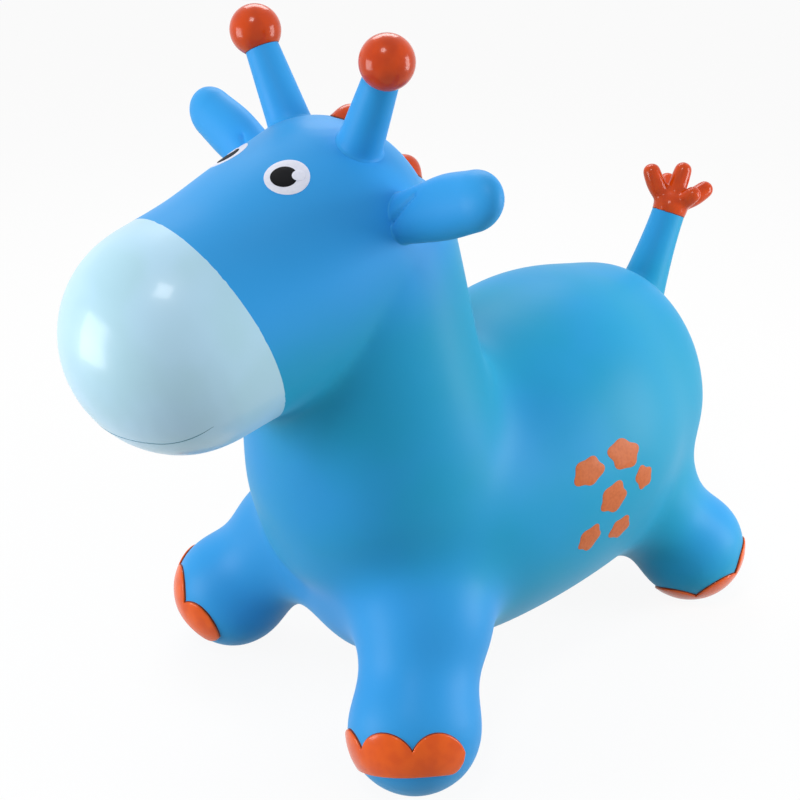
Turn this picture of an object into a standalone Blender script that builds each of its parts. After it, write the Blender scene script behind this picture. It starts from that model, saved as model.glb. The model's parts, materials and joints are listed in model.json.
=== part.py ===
# A bouncy ride-on animal: a soft giraffe blown from one hollow vinyl skin, about 0.64 m long.
# The skin is parted where it bends and where its colour changes, and each part is its own solid.
# It faces -Y, its left side is +X and it stands on four round feet at z = 0. Sizes are in metres.
import math

import bmesh
import bpy
from mathutils import Matrix, Vector
from mathutils.bvhtree import BVHTree

# The skin, and the gaps that its parts keep
skin_wall = 0.0024
fit_gap = 0.0003
cut_overrun = 0.040
relief_height = 0.0020
print_height = 0.0010
weld_distance = 0.00001

# Trunk: the saddle barrel, a loft of oval sections, joined to a round chest
barrel_length = 0.270
barrel_width = 0.262
barrel_height = 0.290
barrel_front_y = -0.060
barrel_axis_z = 0.165
barrel_front_cap = 0.078
barrel_rear_cap = 0.074
# along, rise, half width, half height above, half height below
barrel_shares = (
    (0.00, 0.030, 0.430, 0.400, 0.490),
    (0.25, 0.000, 0.475, 0.412, 0.490),
    (0.50, 0.010, 0.500, 0.466, 0.490),
    (0.75, 0.040, 0.490, 0.482, 0.485),
    (1.00, 0.062, 0.390, 0.424, 0.390),
)
barrel_steps = 12
chest_radius = 0.108
chest_y = -0.060
chest_z = 0.226

# Neck: an upright loft whose lower end is a ball seated in the chest, about which the head nods
nod_y = -0.078
nod_z = 0.284
nod_radius = 0.095
nod_mouth_radius = 0.062
neck_length = 0.140
neck_width = 0.176
neck_depth = 0.176
neck_base_z = 0.270
# along (upwards), shift to the rear, half width, half depth behind, half depth in front
neck_shares = (
    (0.00, -0.440, 0.500, 0.500, 0.500),
    (0.35, -0.490, 0.500, 0.500, 0.500),
    (0.70, -0.560, 0.480, 0.480, 0.500),
    (1.00, -0.630, 0.470, 0.470, 0.500),
)
neck_cap = 0.040
neck_steps = 7

# Head: a loft from the back of the skull forwards to the muzzle, which is painted pale
head_length = 0.126
head_width = 0.168
head_height = 0.172
skull_y = -0.110
muzzle_z = 0.361
skull_cap = 0.072
muzzle_cap = 0.079
# along (forwards), rise, half width, half height above, half height below
head_shares = (
    (0.00, 0.250, 0.500, 0.500, 0.480),
    (0.33, 0.180, 0.495, 0.470, 0.530),
    (0.66, 0.090, 0.485, 0.455, 0.518),
    (1.00, 0.000, 0.478, 0.468, 0.470),
)
head_steps = 9
# How far up the head lies the line from which its eyes, ears, horns and mane are set out
setting_out_share = 0.2267
paint_line_y = -0.2235
paint_line_z = 0.3913
paint_line_lean = math.radians(18.8)

# Eyes: a white disc with a dark pupil let into it, and a round glint let into the pupil's edge.
# The pupil looks forwards and inwards, and the glint lies on its other side.
eye_radius = 0.0150
pupil_radius = 0.0089
pupil_shift = 0.0020
glint_radius = 0.0058
glint_shift = 0.0092
glint_turn = math.radians(31.0)
eye_y = -0.1685
eye_turn = math.radians(27.2)
eye_sides = 20

# Ears: full, rounded paddles on a ball seated in the side of the head
ear_length = 0.105
ear_height = 0.047
ear_thickness = 0.029
ear_ball_radius = 0.0195
ear_ball_depth = 0.0070
ear_mouth_radius = 0.0110
ear_y = -0.106
ear_seat_turn = math.radians(66.0)
ear_raise = math.radians(22.5)
ear_sweep = math.radians(-2.0)
ear_roll = math.radians(-14.0)
# along (outwards), drop, half thickness, half height above, half height below
ear_shares = (
    (0.00, 0.000, 0.480, 0.360, 0.360),
    (0.35, 0.000, 0.500, 0.420, 0.400),
    (0.70, 0.000, 0.500, 0.500, 0.430),
    (1.00, 0.000, 0.420, 0.410, 0.350),
)
ear_cap = 0.016
ear_steps = 6

# Horns: tapered stalks, each on a ball seated in the crown and ended by a round knob
horn_y = -0.1126
horn_seat_turn = math.radians(27.0)
horn_lean_out = math.radians(28.0)
horn_lean_fore = math.radians(3.0)
horn_length = 0.068
horn_root_radius = 0.0158
horn_top_radius = 0.0112
horn_ball_radius = 0.0185
horn_ball_depth = 0.0066
knob_radius = 0.0182

# Mane: a row of small lobes from between the horns down the back of the neck
mane_lobe_radius = 0.0128
mane_lobe_rise = 0.0118
mane_count = 3
mane_centre_y = -0.112
mane_first_turn = math.radians(17.0)
mane_last_turn = math.radians(105.0)

# How far round from its top the ball at the root of a horn or the tail is open into its seat
stalk_mouth_turn = math.radians(140.0)

# Tail: a tapered stalk on a ball seated in the rump, with a tuft of lobes round an upright one
tail_turn = math.radians(41.0)
tail_centre_y = 0.190
tail_centre_z = 0.190
tail_lean = math.radians(23.8)
tail_length = 0.0725
tail_root_radius = 0.0194
tail_top_radius = 0.0150
tail_ball_radius = 0.0276
tail_ball_depth = 0.0052
tuft_core_radius = 0.0164
tuft_lobe_length = 0.0440
tuft_lobe_radius = 0.0096
tuft_lobe_count = 4
tuft_first_turn = math.radians(45.0)
tuft_lobe_spread = math.radians(46.0)

# Legs: turned about an axis that leans outwards, with a ball at the hip and another at the foot
foot_radius = 0.0526
foot_flat_depth = 0.0010
hip_radius = 0.0580
hip_edge_turn = math.radians(57.0)
hip_mouth_turn = math.radians(128.0)
foot_edge_turn = math.radians(102.0)
leg_lean = math.radians(45.0)
front_foot_x = 0.1185
front_foot_y = -0.1299
front_leg_length = 0.077
front_leg_turn = math.radians(42.0)
front_toe_turn = math.radians(21.6)
front_toe_drop = 0.0
rear_foot_x = 0.0987
rear_foot_y = 0.2263
rear_leg_length = 0.068
rear_leg_turn = math.radians(135.0)
rear_toe_turn = math.radians(56.5)
rear_toe_drop = math.radians(25.0)

# Toe caps: a band with three round lobes along its top, set out by turns about the foot's centre
# after it has leaned back from the leg's side
toe_lean = math.radians(28.0)
toe_edge_turns = (-1.25, -0.41, 0.41, 1.25)
toe_cusp_lift = math.radians(-10.0)
toe_lobe_lift = math.radians(12.0)
toe_base_lift = math.radians(-33.0)
toe_fan_shares = (1.0, 0.7, 0.35)

# Air valve under the belly: a flanged seat and the plug that is pulled out to let air in
valve_y = 0.060
valve_flange_radius = 0.0110
valve_flange_height = 0.0012
valve_body_radius = 0.0075
valve_body_depth = 0.0100
valve_bore_radius = 0.0045
plug_shank_length = 0.0120
plug_head_radius = 0.0070
plug_head_height = 0.0018

# How finely the forms are faceted
body_sides = 32
limb_sides = 18
horn_sides = 14
ear_sides = 16
small_sides = 10
arc_steps = 5
hip_sides = 24
coarse_steps = 3

blue = (0.060, 0.355, 0.745)
pale = (0.480, 0.720, 0.920)
orange = (0.750, 0.090, 0.008)
white = (0.760, 0.800, 0.900)
black = (0.008, 0.009, 0.012)

ACROSS = Vector((1, 0, 0))
BACK = Vector((0, 1, 0))
UP = Vector((0, 0, 1))


def clear_scene():
    for item in list(bpy.data.objects):
        bpy.data.objects.remove(item, do_unlink=True)


def vinyl(name, colour, roughness):
    material = bpy.data.materials.new(name)
    material.use_nodes = True
    shader = material.node_tree.nodes["Principled BSDF"]
    shader.inputs["Base Color"].default_value = (*colour, 1.0)
    shader.inputs["Roughness"].default_value = roughness
    shader.inputs["Metallic"].default_value = 0.0
    material.diffuse_color = (*colour, 1.0)
    return material


# Reads a row of stations as one smooth curve, at 0 to 1 along it
def along_curve(values, at):
    last = len(values) - 1
    index = min(int(at * last), last - 1)
    t = at * last - index
    a, b = values[index], values[index + 1]
    before = values[index - 1] if index else a * 2 - b
    after = values[index + 2] if index + 2 <= last else b * 2 - a
    slope_a, slope_b = (b - before) / 2, (after - a) / 2
    return (a * (2 * t**3 - 3 * t**2 + 1) + slope_a * (t**3 - 2 * t**2 + t)
            + b * (3 * t**2 - 2 * t**3) + slope_b * (t**3 - t**2))


def oval(centre, up, half_width, half_up, half_down, sides):
    ring = []
    for side in range(sides):
        angle = 2 * math.pi * side / sides
        height = half_up if math.sin(angle) >= 0 else half_down
        ring.append(centre + ACROSS * (half_width * math.cos(angle)) + up * (height * math.sin(angle)))
    return ring


# Skins a row of rings into one closed mesh; a ring of one point is a pole
def skinned(name, rings):
    bm = bmesh.new()
    rows = [[bm.verts.new(point) for point in ring] for ring in rings]
    for row, following in zip(rows, rows[1:]):
        for side in range(max(len(row), len(following))):
            corner = side + 1
            face = [row[side % len(row)], row[corner % len(row)],
                    following[corner % len(following)], following[side % len(following)]]
            bm.faces.new(list(dict.fromkeys(face)))
    bmesh.ops.recalc_face_normals(bm, faces=bm.faces)
    mesh = bpy.data.meshes.new(name)
    bm.to_mesh(mesh)
    bm.free()
    return mesh


# Lofts ovals along a path in the middle plane, with a domed cap at each end. A station is
# (y, z, half width, half height above, half height below), and grow thickens it all round.
def loft(name, stations, caps, grow, steps, sides):
    values = [Vector(station) for station in stations]
    samples = [along_curve(values, step / steps) for step in range(steps + 1)]
    centres = [Vector((0, sample[0], sample[1])) for sample in samples]
    rings = []
    for index, sample in enumerate(samples):
        along = (centres[min(index + 1, steps)] - centres[max(index - 1, 0)]).normalized()
        up = along.cross(ACROSS)
        up = -up if up.dot(UP) < -abs(up.y) or (abs(up.z) < abs(up.y) and up.y < 0) else up
        halves = [value + grow for value in sample[2:]]
        dome = []
        if index in (0, steps):
            reach = (caps[0] + grow) * -1 if index == 0 else caps[1] + grow
            for step in range(1, arc_steps):
                turn = math.pi / 2 * step / arc_steps
                shrunk = [half * math.cos(turn) for half in halves]
                dome.append(oval(centres[index] + along * (reach * math.sin(turn)), up, *shrunk, sides))
            dome.append([centres[index] + along * reach])
        ring = [oval(centres[index], up, *halves, sides)]
        rings += dome[::-1] + ring if index == 0 else ring + dome
    return skinned(name, rings)


def ball(name, radius, centre, sides, turn=0.0):
    bm = bmesh.new()
    matrix = Matrix.Translation(centre) @ Matrix.Rotation(turn, 4, "Z")
    bmesh.ops.create_uvsphere(bm, u_segments=sides, v_segments=sides // 2, radius=radius,
                              matrix=matrix)
    mesh = bpy.data.meshes.new(name)
    bm.to_mesh(mesh)
    bm.free()
    return mesh


# A ball whose facets, and not only its corners, clear a ball of the given radius, and which is
# turned by half a facet so that its flats face the other's corners
def socket_ball(name, radius, centre, sides):
    half_facet = math.pi / sides
    return ball(name, (radius + fit_gap) / math.cos(half_facet)**2, centre, sides, half_facet)


def cylinder(name, radius, low, high, sides):
    bm = bmesh.new()
    bmesh.ops.create_cone(bm, cap_ends=True, segments=sides, radius1=radius, radius2=radius,
                          depth=high - low, matrix=Matrix.Translation((0, 0, (low + high) / 2)))
    mesh = bpy.data.meshes.new(name)
    bm.to_mesh(mesh)
    bm.free()
    return mesh


def box(name, low, high):
    low, high = Vector(low), Vector(high)
    size = high - low
    bm = bmesh.new()
    bmesh.ops.create_cube(bm, size=1, matrix=Matrix.Translation((low + high) / 2)
                          @ Matrix.Diagonal((*size, 1)))
    mesh = bpy.data.meshes.new(name)
    bm.to_mesh(mesh)
    bm.free()
    return mesh


# A flat outline in X and Z pushed through from the first Y to the second
def prism(name, outline, near, far):
    bm = bmesh.new()
    front = [bm.verts.new((x, near, z)) for x, z in outline]
    back = [bm.verts.new((x, far, z)) for x, z in outline]
    bm.faces.new(front)
    bm.faces.new(back[::-1])
    for index in range(len(outline)):
        following = (index + 1) % len(outline)
        bm.faces.new((front[index], back[index], back[following], front[following]))
    bmesh.ops.recalc_face_normals(bm, faces=bm.faces)
    mesh = bpy.data.meshes.new(name)
    bm.to_mesh(mesh)
    bm.free()
    return mesh


# A fan from a ball's centre through an outline of turns and lifts on it, looking along -Y
def fan(name, outline, reach):
    def place(turn, lift):
        level = reach * math.cos(lift)
        return Vector((level * math.sin(turn), -level * math.cos(turn), reach * math.sin(lift)))

    middle = sum((Vector(point) for point in outline), Vector((0, 0))) / len(outline)
    rings = [[Vector()]]
    for share in toe_fan_shares:
        rings.append([place(*(middle + (Vector(point) - middle) * share)) for point in outline])
    return skinned(name, rings + [[place(*middle)]])


# The profile of a turned piece, as (radius, height) points, top to bottom down its outer side
def profile(name, points):
    mesh = bpy.data.meshes.new(name)
    edges = [(index, index + 1) for index in range(len(points) - 1)]
    if min(points[0][0], points[-1][0]) > 0:
        edges.append((len(points) - 1, 0))
    mesh.from_pydata([(radius, 0, height) for radius, height in points], edges, [])
    return mesh


def arc(radius, centre_height, first_turn, last_turn, steps):
    points = []
    for step in range(steps + 1):
        turn = first_turn + (last_turn - first_turn) * step / steps
        points.append((max(radius * math.sin(turn), 0.0), centre_height + radius * math.cos(turn)))
    return points


class Animal:
    def __init__(self):
        self.parts = bpy.data.collections.new("bouncy_ride_on_animal")
        self.tools = bpy.data.collections.new("cutters")
        for group in (self.parts, self.tools):
            bpy.context.scene.collection.children.link(group)
        self.root = self.empty("animal_origin", Matrix.Identity(4), None)
        self.blue = vinyl("blue_vinyl", blue, 0.45)
        self.pale = vinyl("pale_vinyl", pale, 0.25)
        self.orange = vinyl("orange_vinyl", orange, 0.22)
        self.white = vinyl("white_print", white, 0.30)
        self.black = vinyl("black_print", black, 0.25)

    def empty(self, name, matrix, parent):
        item = bpy.data.objects.new(name, None)
        self.tools.objects.link(item)
        item.parent = parent
        item.matrix_world = matrix
        return item

    # A pivot lies at a joint's centre, with its X axis along the joint's axis
    def pivot(self, name, place, axis):
        turn = ACROSS.rotation_difference(Vector(axis)).to_matrix().to_4x4()
        return self.empty(name, Matrix.Translation(place) @ turn, self.root)

    def part(self, name, mesh, material, matrix=None, pivot=None):
        item = bpy.data.objects.new(name, mesh)
        self.parts.objects.link(item)
        mesh.materials.append(material)
        return self.placed(item, matrix, pivot)

    def tool(self, name, mesh, matrix=None, pivot=None):
        item = bpy.data.objects.new(name, mesh)
        self.tools.objects.link(item)
        item.hide_render = True
        item.display_type = "WIRE"
        return self.placed(item, matrix, pivot)

    def socket(self, name, radius, centre, sides):
        return self.tool(name, socket_ball(name, radius, centre, sides))

    def placed(self, item, matrix, pivot):
        item.parent = pivot or self.root
        bpy.context.view_layer.update()
        item.matrix_parent_inverse = item.parent.matrix_world.inverted()
        item.matrix_basis = matrix or Matrix.Identity(4)
        return item


def finish(item):
    item.data.shade_smooth()
    return item


def turned(item, sides):
    screw = item.modifiers.new("turn", "SCREW")
    screw.steps = sides
    screw.render_steps = sides
    screw.use_merge_vertices = True
    screw.merge_threshold = weld_distance
    return finish(item)


def combine(item, operation, *others):
    for other in others:
        change = item.modifiers.new(f"{operation.lower()}_{other.name}", "BOOLEAN")
        change.operation = operation
        change.object = other
    return item


def cut(item, *others):
    return combine(item, "DIFFERENCE", *others)


def barrel_mesh(name, grow, coarseness):
    stations = [(barrel_front_y + along * barrel_length, barrel_axis_z + rise * barrel_height,
                 half * barrel_width, above * barrel_height, below * barrel_height)
                for along, rise, half, above, below in barrel_shares]
    return loft(name, stations, (barrel_front_cap, barrel_rear_cap), grow,
                barrel_steps // coarseness, body_sides // coarseness)


def neck_mesh(name, grow, coarseness):
    stations = [(shift * neck_depth, neck_base_z + along * neck_length,
                 half * neck_width, behind * neck_depth, front * neck_depth)
                for along, shift, half, behind, front in neck_shares]
    return loft(name, stations, (neck_cap, neck_cap), grow, neck_steps // coarseness,
                body_sides // coarseness)


def head_mesh(name, grow, coarseness):
    stations = [(skull_y - along * head_length, muzzle_z + rise * head_height,
                 half * head_width, above * head_height, below * head_height)
                for along, rise, half, above, below in head_shares]
    return loft(name, stations, (skull_cap, muzzle_cap), grow, head_steps // coarseness,
                body_sides // coarseness)


def setting_out_z():
    return muzzle_z + setting_out_share * head_height


def tree_of(mesh):
    return BVHTree.FromPolygons([vertex.co for vertex in mesh.vertices],
                                [polygon.vertices for polygon in mesh.polygons])


# Where a line from inside the form leaves its skin for the last time
def seat(trees, start, direction):
    start, direction = Vector(start), Vector(direction).normalized()
    hits = [tree.ray_cast(start + direction, -direction) for tree in trees]
    found = [(hit[0], hit[1]) for hit in hits if hit[0] is not None]
    return max(found, key=lambda hit: (hit[0] - start).dot(direction))


# The same for a piece in the middle plane, where a facet may face a little to one side
def middle_seat(trees, start, direction):
    point, normal = seat(trees, start, direction)
    return point, Vector((0, normal.y, normal.z)).normalized()


def aimed(place, direction):
    turn = UP.rotation_difference(Vector(direction)).to_matrix().to_4x4()
    return Matrix.Translation(place) @ turn


def leg_outline(length, shrink, steps):
    hip, foot = hip_radius - shrink, foot_radius - shrink
    knee = arc(hip, 0, hip_edge_turn, hip_mouth_turn, steps)
    sole = arc(foot, length, 0, foot_edge_turn, steps)
    start, end = Vector(sole[-1]), Vector(knee[0])
    handle = (start - end).length / 3
    leave = start + Vector((math.cos(foot_edge_turn), -math.sin(foot_edge_turn))) * handle
    arrive = end - Vector((math.cos(hip_edge_turn), -math.sin(hip_edge_turn))) * handle
    calf = []
    for step in range(1, steps):
        t = step / steps
        point = (start * (1 - t)**3 + leave * (3 * t * (1 - t)**2)
                 + arrive * (3 * t**2 * (1 - t)) + end * t**3)
        calf.append(tuple(point))
    return sole + calf + knee


def leg_places(side, foot_x, foot_y, length, leg_turn):
    foot = Vector((side * foot_x, foot_y, foot_radius - foot_flat_depth))
    outwards = Vector((side * math.sin(leg_turn), -math.cos(leg_turn), 0))
    along = outwards * math.sin(leg_lean) - UP * math.cos(leg_lean)
    return foot, foot - along * length, along, outwards


def toe_outline():
    points = []
    for left, right in zip(toe_edge_turns, toe_edge_turns[1:]):
        middle, half = (left + right) / 2, (right - left) / 2
        for step in range(2 * arc_steps):
            turn = math.pi * (1 - step / (2 * arc_steps))
            lift = toe_cusp_lift + toe_lobe_lift * math.sin(turn)
            points.append((middle + half * math.cos(turn), lift))
    points.append((toe_edge_turns[-1], toe_cusp_lift))
    for step in range(2 * arc_steps + 1):
        points.append((toe_edge_turns[-1] * (1 - step / arc_steps), toe_base_lift))
    return points


def make_leg(animal, name, side, foot_x, foot_y, length, leg_turn, toe_turn, toe_drop, floor):
    foot, hip, along, outwards = leg_places(side, foot_x, foot_y, length, leg_turn)
    hinge = animal.pivot(f"pivot_leg_{name}", hip, UP.cross(outwards))
    aim = aimed(hip, along)
    outline = leg_outline(length, 0, arc_steps) + leg_outline(length, skin_wall, coarse_steps)[::-1]
    leg = animal.part(f"leg_{name}", profile(f"leg_{name}", outline), animal.blue, aim, hinge)
    cut(turned(leg, limb_sides), floor)

    def blank(label, grow):
        points = leg_outline(length, -grow, arc_steps)
        points.append((0, points[-1][1]))
        item = animal.tool(f"{label}_{name}", profile(f"{label}_{name}", points), aim, hinge)
        return turned(item, limb_sides)

    facing = (Matrix.Rotation(-toe_lean, 4, UP.cross(outwards)) @ Matrix.Rotation(side * toe_turn, 4, "Z")
              @ Matrix.Rotation(toe_drop, 4, "X"))
    mesh = fan(f"toe_cap_{name}", toe_outline(), foot_radius + cut_overrun)
    toe = animal.part(f"toe_cap_{name}", mesh, animal.orange, Matrix.Translation(foot) @ facing, hinge)
    combine(toe, "INTERSECT", blank("toe_outside", relief_height))
    cut(toe, blank("toe_inside", fit_gap), floor)
    finish(toe)
    return animal.socket(f"hip_socket_{name}", hip_radius, hip, hip_sides)


def stalk_outline(ball_radius, root_radius, top_radius, top, shrink, steps):
    edge_turn = math.asin(root_radius / ball_radius)
    return ([(top_radius - shrink, top)]
            + arc(ball_radius - shrink, 0, edge_turn, stalk_mouth_turn, steps))


def make_stalk(animal, name, outline_values, material, aim, hinge):
    ball_radius, root_radius, top_radius, top = outline_values
    outline = (stalk_outline(ball_radius, root_radius, top_radius, top, 0, arc_steps)
               + stalk_outline(ball_radius, root_radius, top_radius, top, skin_wall, coarse_steps)[::-1])
    return turned(animal.part(name, profile(name, outline), material, aim, hinge), horn_sides)


def make_horn(animal, name, side, trees):
    seat_way = Vector((side * math.sin(horn_seat_turn), 0, math.cos(horn_seat_turn)))
    point = seat(trees, (0, horn_y, setting_out_z()), seat_way)[0]
    way = Vector((side * math.sin(horn_lean_out), -math.sin(horn_lean_fore), math.cos(horn_lean_out)))
    way.normalize()
    centre = point - way * horn_ball_depth
    hinge = animal.pivot(f"pivot_horn_{name}", centre, ACROSS)
    aim = aimed(centre, way)
    knob_height = horn_length + horn_ball_depth
    knob_edge = math.asin(horn_top_radius / knob_radius)
    top = knob_height - knob_radius * math.cos(knob_edge) - fit_gap
    make_stalk(animal, f"horn_{name}", (horn_ball_radius, horn_root_radius, horn_top_radius, top),
               animal.blue, aim, hinge)
    outline = arc(knob_radius, knob_height, 0, math.pi - knob_edge, 2 * arc_steps)
    outline += arc(knob_radius - skin_wall, knob_height, 0, math.pi - knob_edge, coarse_steps)[::-1]
    knob = profile(f"horn_knob_{name}", outline)
    turned(animal.part(f"horn_knob_{name}", knob, animal.orange, aim, hinge), horn_sides)
    return animal.socket(f"horn_socket_{name}", horn_ball_radius, centre, limb_sides)


def ear_mesh(name, grow, coarseness):
    stations = [(along * (ear_length - ear_cap), drop * ear_height,
                 half * ear_thickness, above * ear_height, below * ear_height)
                for along, drop, half, above, below in ear_shares]
    return loft(name, stations, (ear_cap, ear_cap), grow, ear_steps // coarseness,
                ear_sides // coarseness)


def make_ear(animal, name, side, trees):
    seat_way = Vector((side * math.sin(ear_seat_turn), 0, math.cos(ear_seat_turn)))
    point = seat(trees, (0, ear_y, setting_out_z()), seat_way)[0]
    level = math.cos(ear_raise)
    way = Vector((side * level * math.cos(ear_sweep), level * math.sin(ear_sweep), math.sin(ear_raise)))
    centre = point - way * ear_ball_depth
    hinge = animal.pivot(f"pivot_ear_{name}", centre, UP)
    across = way.cross(UP).normalized()
    frame = Matrix((across, way, across.cross(way))).transposed().to_4x4()
    aim = Matrix.Translation(centre) @ Matrix.Rotation(side * ear_roll, 4, way) @ frame
    ear = animal.part(f"ear_{name}", ear_mesh(f"ear_{name}", 0, 1), animal.blue, aim, hinge)
    root = ball(f"ear_root_{name}", ear_ball_radius, centre, ear_sides)
    combine(ear, "UNION", animal.tool(root.name, root, None, hinge))
    hollow = ear_mesh(f"ear_hollow_{name}", -skin_wall, 2)
    low = -ear_ball_radius - cut_overrun
    bore = cylinder(f"ear_bore_{name}", ear_mouth_radius, low, 0, small_sides)
    cut(ear, animal.tool(hollow.name, hollow, aim, hinge),
        animal.tool(bore.name, bore, aimed(centre, way), hinge))
    finish(ear)
    return animal.socket(f"ear_socket_{name}", ear_ball_radius, centre, limb_sides)


def disc_prism(name, radius, back):
    outline = []
    for index in range(eye_sides):
        turn = 2 * math.pi * index / eye_sides
        outline.append((radius * math.cos(turn), back + radius * math.sin(turn)))
    return prism(name, outline, -eye_radius, eye_radius)


def make_eye(animal, name, side, trees, hinge, outside, inside):
    way = Vector((side * math.sin(eye_turn), 0, math.cos(eye_turn)))
    point, normal = seat(trees, (0, eye_y, setting_out_z()), way)
    back = (BACK - normal * BACK.dot(normal)).normalized()
    back = Matrix.Rotation(-side * glint_turn, 3, normal) @ back
    aim = Matrix.Translation(point) @ Matrix((back.cross(normal), -normal, back)).transposed().to_4x4()
    glint_back = glint_shift - pupil_shift

    def plug(label, radius, shift):
        item = disc_prism(f"{label}_{name}", radius, shift)
        return animal.tool(item.name, item, aim, hinge)

    hole = plug("pupil_hole", pupil_radius + fit_gap, -pupil_shift)
    cut(hole, plug("glint_tongue", glint_radius - fit_gap, glint_back))
    white_eye = disc_prism(f"eye_white_{name}", eye_radius, 0)
    white_eye = animal.part(white_eye.name, white_eye, animal.white, aim, hinge)
    combine(white_eye, "INTERSECT", outside)
    finish(cut(white_eye, inside, hole))
    pupil = disc_prism(f"eye_pupil_{name}", pupil_radius, -pupil_shift)
    pupil = animal.part(pupil.name, pupil, animal.black, aim, hinge)
    combine(pupil, "INTERSECT", outside)
    finish(cut(pupil, inside, plug("glint_bite", glint_radius, glint_back)))


def make_mane(animal, trees, hinge, skins):
    for index in range(mane_count):
        turn = mane_first_turn + (mane_last_turn - mane_first_turn) * index / (mane_count - 1)
        way = Vector((0, math.sin(turn), math.cos(turn)))
        point, normal = middle_seat(trees, (0, mane_centre_y, setting_out_z()), way)
        centre = point + normal * (mane_lobe_rise - mane_lobe_radius)
        outline = arc(mane_lobe_radius, 0, 0, math.pi, 2 * arc_steps)
        name = f"mane_lobe_{index + 1}"
        lobe = animal.part(name, profile(name, outline), animal.orange, aimed(centre, normal), hinge)
        turned(lobe, small_sides)
        finish(cut(lobe, *skins))


def make_head(animal):
    hinge = animal.pivot("pivot_head", (0, nod_y, nod_z), ACROSS)
    line = Matrix.Translation((0, paint_line_y, paint_line_z)) @ Matrix.Rotation(paint_line_lean, 4, "X")
    reach = head_length + head_height + cut_overrun
    nod = (0, nod_y, nod_z)

    def tool(mesh, matrix=None):
        return animal.tool(mesh.name, mesh, matrix, hinge)

    ahead = tool(box("ahead_of_paint_line", (-reach, -reach, -reach), (reach, 0, reach)), line)
    behind = tool(box("behind_paint_line", (-reach, -fit_gap, -reach), (reach, reach, reach)), line)
    cavity = tool(head_mesh("head_cavity", -skin_wall, 2))
    throat = tool(neck_mesh("neck_cavity", -skin_wall, 2))
    nod_hollow = tool(ball("nod_hollow", nod_radius - skin_wall, nod, body_sides // 2))
    nod_ball = tool(ball("nod_ball", nod_radius, nod, body_sides))
    column = tool(neck_mesh("neck_column", 0, 1))
    mouth = tool(cylinder("nod_mouth", nod_mouth_radius, -nod_radius - cut_overrun, 0, limb_sides),
                 Matrix.Translation(nod))
    head = animal.part("head_skin", head_mesh("head_skin", 0, 1), animal.blue, None, hinge)
    combine(head, "UNION", column, nod_ball)
    muzzle = animal.part("muzzle_skin", head_mesh("muzzle_skin", 0, 1), animal.pale, None, hinge)
    cut(muzzle, cavity, behind)
    finish(muzzle)

    trees = [tree_of(head.data), tree_of(column.data)]
    sockets = []
    for side, name in ((1, "left"), (-1, "right")):
        sockets.append(make_horn(animal, name, side, trees))
        sockets.append(make_ear(animal, name, side, trees))
    cut(head, cavity, throat, nod_hollow, mouth, ahead, *sockets)
    finish(head)

    print_outside = tool(head_mesh("print_outside", print_height, 1))
    print_inside = tool(head_mesh("print_inside", fit_gap, 1))
    neck_inside = tool(neck_mesh("neck_inside", fit_gap, 1))
    for side, name in ((1, "left"), (-1, "right")):
        make_eye(animal, name, side, trees, hinge, print_outside, print_inside)
    make_mane(animal, trees, hinge, (print_inside, neck_inside))
    return animal.socket("nod_socket", nod_radius, nod, body_sides)


def make_tail(animal, trees):
    way = Vector((0, math.sin(tail_turn), math.cos(tail_turn)))
    point, normal = middle_seat(trees, (0, tail_centre_y, tail_centre_z), way)
    along = Vector((0, math.sin(tail_lean), math.cos(tail_lean)))
    centre = point - normal * tail_ball_depth
    hinge = animal.pivot("pivot_tail", centre, ACROSS)
    aim = aimed(centre, along)
    top = tail_length + tail_ball_depth
    make_stalk(animal, "tail", (tail_ball_radius, tail_root_radius, tail_top_radius, top),
               animal.blue, aim, hinge)
    base = top + fit_gap
    core_turn = math.pi - math.asin(tail_top_radius / tuft_core_radius)
    core_height = base - tuft_core_radius * math.cos(core_turn)
    outline = arc(tuft_core_radius, core_height, 0, core_turn, 2 * arc_steps) + [(0, base)]
    tuft = animal.part("tail_tuft", profile("tail_tuft", outline), animal.orange, aim, hinge)
    turned(tuft, horn_sides)
    lift = Matrix.Translation((0, 0, core_height))
    spreads = [Matrix.Identity(4)]
    for index in range(tuft_lobe_count):
        turn = tuft_first_turn + 2 * math.pi * index / tuft_lobe_count
        spreads.append(Matrix.Rotation(turn, 4, "Z") @ Matrix.Rotation(tuft_lobe_spread, 4, "X"))
    tip = arc(tuft_lobe_radius, tuft_lobe_length - tuft_lobe_radius, 0, math.pi / 2, arc_steps)
    tail_end = arc(tuft_lobe_radius, 2 * tuft_lobe_radius, math.pi / 2, math.pi, coarse_steps)
    for index, spread in enumerate(spreads):
        lobe = profile(f"tuft_lobe_{index + 1}", tip + tail_end)
        lobe = animal.tool(lobe.name, lobe, aim @ lift @ spread, hinge)
        combine(tuft, "UNION", turned(lobe, small_sides))
    return animal.socket("tail_socket", tail_ball_radius, centre, limb_sides)


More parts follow.
